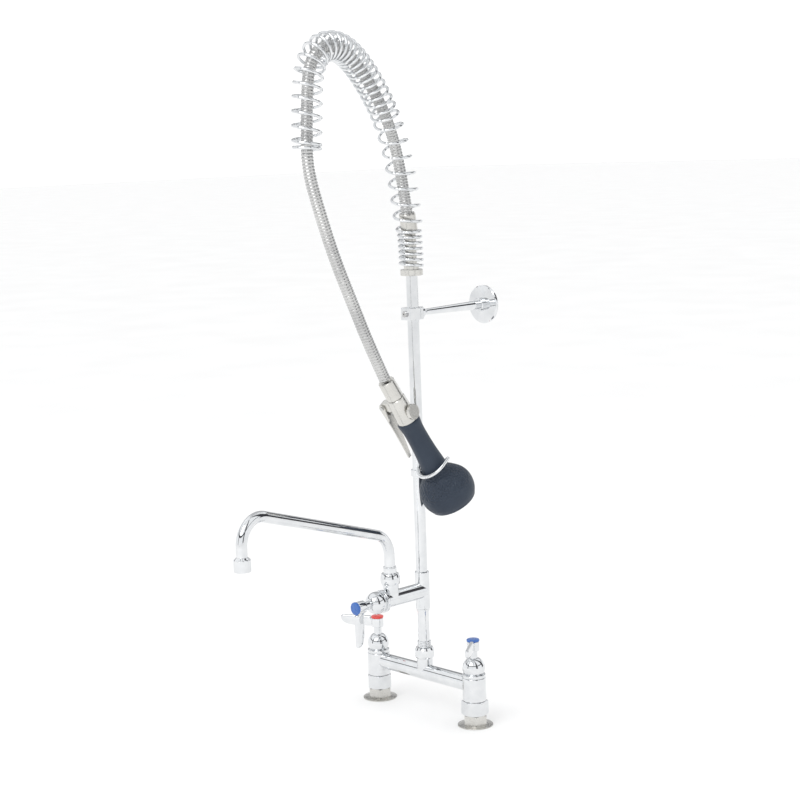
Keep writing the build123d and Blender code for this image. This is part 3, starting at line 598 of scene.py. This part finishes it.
hub_outline = [
    (5.1, HUB_LOW),
    (9.2, HUB_LOW),
    (9.2, HUB_HIGH),
    (7.7, HUB_HIGH),
    (7.7, SCREW_SEAT),
    (2.3, SCREW_SEAT),
    (2.3, DRIVE_TOP),
    (5.1, DRIVE_TOP),
    (5.1, HUB_LOW),
]
button_outline = [
    (0.01, 51.3),
    (7.4, 51.3),
    (7.4, HUB_HIGH + 0.1),
    (9.4, HUB_HIGH + 0.1),
    (9.5, 56.4),
    (8.3, 57.1),
    (5, 57.35),
    (0.01, 57.4),
]
dome = [(14.3, 5)]
for step in range(25):
    angle = math.radians(-33 + (56.5 + 33) * step / 24)
    dome.append((BALL_R * math.cos(angle), BALL_HEIGHT + BALL_R * math.sin(angle)))
bonnet_outline = [
    (SPINDLE_R, -10),
    (TAIL_R, -10),
    (TAIL_R, 0),
    (16.4, 0),
    (17, 0.6),
    (17, 4.4),
    (16.4, 5),
    *dome,
    (7.5, 28.6),
    (SPINDLE_R, 28.6),
    (SPINDLE_R, -10),
]
index_colour = {
    "hot": ("red_index", red),
    "cold": ("blue_index", blue),
    "addon": ("blue_index", blue),
}
for name, place in valves.items():
    hub = lathe(f"{name}_hub", place, hub_outline, ease=0.8)
    lever = joined(f"{name}_lever_handle", [hub, blade(f"{name}_blade", place)])
    put(lever, f"{name}_lever", f"{name}_handle", chrome)
    button = lathe(f"{name}_button", place, button_outline)
    slot_name, colour = index_colour[name]
    put(button, f"{name}_lever", f"{name}_index", colour)
    bonnet = lathe(f"{name}_dome_bonnet", place, bonnet_outline, segments=128)
    put(bonnet, "root", f"{name}_bonnet", chrome)


# ---------------------------------------------------------------- floor, light and camera
def studio():
    """A pale floor, a soft white sky with a few dark strips for the plating, and one key."""
    size = 40
    corners = [(-size, -size, 0), (size, -size, 0), (size, size, 0), (-size, size, 0)]
    floor = new_mesh("floor", corners, [(0, 1, 2, 3)], smooth=False)
    pale, nodes, links, bsdf = shader("pale_floor", Roughness=0.75)
    cloud = texture(nodes, links, "ShaderNodeTexNoise", 3, Detail=2.0)
    tone = ramp(nodes, links, cloud.outputs["Fac"], (0.88, 0.88, 0.88, 1), (0.91, 0.91, 0.91, 1))
    links.new(tone, bsdf.inputs["Base Color"])
    floor.data.materials.append(pale)

    world = bpy.data.worlds.new("studio")
    bpy.context.scene.world = world
    world.use_nodes = True
    nodes, links = world.node_tree.nodes, world.node_tree.links
    sky = nodes["Background"]
    where = nodes.new("ShaderNodeTexCoord")
    split = nodes.new("ShaderNodeSeparateXYZ")
    links.new(where.outputs["Generated"], split.inputs["Vector"])
    turn = nodes.new("ShaderNodeMath")
    turn.operation = "ARCTAN2"
    links.new(split.outputs["Y"], turn.inputs[0])
    links.new(split.outputs["X"], turn.inputs[1])

    def strip(source, centre, half, soft=0.03, dark=1.0):
        """The darkness inside a strip and nought outside, with soft edges."""
        gap = nodes.new("ShaderNodeMath")
        gap.operation = "SUBTRACT"
        gap.inputs[1].default_value = centre
        links.new(source, gap.inputs[0])
        size = nodes.new("ShaderNodeMath")
        size.operation = "ABSOLUTE"
        links.new(gap.outputs[0], size.inputs[0])
        edge = nodes.new("ShaderNodeMapRange")
        edge.interpolation_type = "SMOOTHSTEP"
        edge.inputs["From Min"].default_value = half - soft
        edge.inputs["From Max"].default_value = half + soft
        edge.inputs["To Min"].default_value = dark
        edge.inputs["To Max"].default_value = 0
        links.new(size.outputs[0], edge.inputs["Value"])
        return edge.outputs["Result"]

    strips = [
        strip(turn.outputs[0], math.radians(-108), 0.075),
        strip(turn.outputs[0], math.radians(-12), 0.15),
        strip(turn.outputs[0], math.radians(60), 0.20),
        strip(turn.outputs[0], math.radians(134), 0.40, 0.2, 0.45),
        strip(split.outputs["Z"], 0.42, 0.05, 0.02),
        strip(split.outputs["Z"], -0.45, 0.06, 0.03),
    ]
    darkest = strips[0]
    for other in strips[1:]:
        more = nodes.new("ShaderNodeMath")
        more.operation = "MAXIMUM"
        links.new(darkest, more.inputs[0])
        links.new(other, more.inputs[1])
        darkest = more.outputs[0]
    tones = nodes.new("ShaderNodeMix")
    tones.data_type = "RGBA"
    tones.inputs["A"].default_value = (0.93, 0.94, 0.95, 1)
    tones.inputs["B"].default_value = (0.05, 0.05, 0.055, 1)
    links.new(darkest, tones.inputs["Factor"])
    rays = nodes.new("ShaderNodeLightPath")
    shown = nodes.new("ShaderNodeMix")
    shown.data_type = "RGBA"
    shown.inputs["B"].default_value = (1, 1, 1, 1)
    plain = nodes.new("ShaderNodeMath")
    plain.operation = "MAXIMUM"
    links.new(rays.outputs["Is Camera Ray"], plain.inputs[0])
    links.new(rays.outputs["Is Diffuse Ray"], plain.inputs[1])
    links.new(plain.outputs[0], shown.inputs["Factor"])
    links.new(tones.outputs["Result"], shown.inputs["A"])
    links.new(shown.outputs["Result"], sky.inputs["Color"])
    sky.inputs["Strength"].default_value = 1.15

    lamp = bpy.data.lights.new("key", "AREA")
    lamp.energy = 20
    lamp.size = 1.6
    key = bpy.data.objects.new("key", lamp)
    key.location = (0.4, -2.2, 2.4)
    key.rotation_euler = (Vector((0, 0, 0.5)) - key.location).to_track_quat("-Z", "Y").to_euler()
    bpy.context.scene.collection.objects.link(key)


def camera():
    """The camera: turned 47 degrees to the user's right and looking slightly down."""
    azimuth = math.radians(47.06)
    elevation = math.radians(8.15)
    roll = math.radians(-2.15)
    distance = 2.599
    outward = Vector((math.sin(azimuth), -math.cos(azimuth), 0))
    back = outward * math.cos(elevation) + Vector((0, 0, math.sin(elevation)))
    level = Vector((math.cos(azimuth), math.sin(azimuth), 0))
    upright = back.cross(level)
    right = level * math.cos(roll) + upright * math.sin(roll)
    up = upright * math.cos(roll) - level * math.sin(roll)
    place = level * -0.0598 + Vector((0, 0, 0.4826)) + back * distance
    lens = bpy.data.cameras.new("camera")
    lens.sensor_width = 36
    lens.lens = 79.54
    lens.shift_x = 0.0311
    lens.shift_y = -0.0059
    lens.clip_end = 200
    view = bpy.data.objects.new("camera", lens)
    turned = Matrix((right, up, back)).transposed()
    view.matrix_world = Matrix.Translation(place) @ turned.to_4x4()
    bpy.context.scene.collection.objects.link(view)
    bpy.context.scene.camera = view


studio()
camera()
bpy.context.scene.view_settings.view_transform = "Standard"
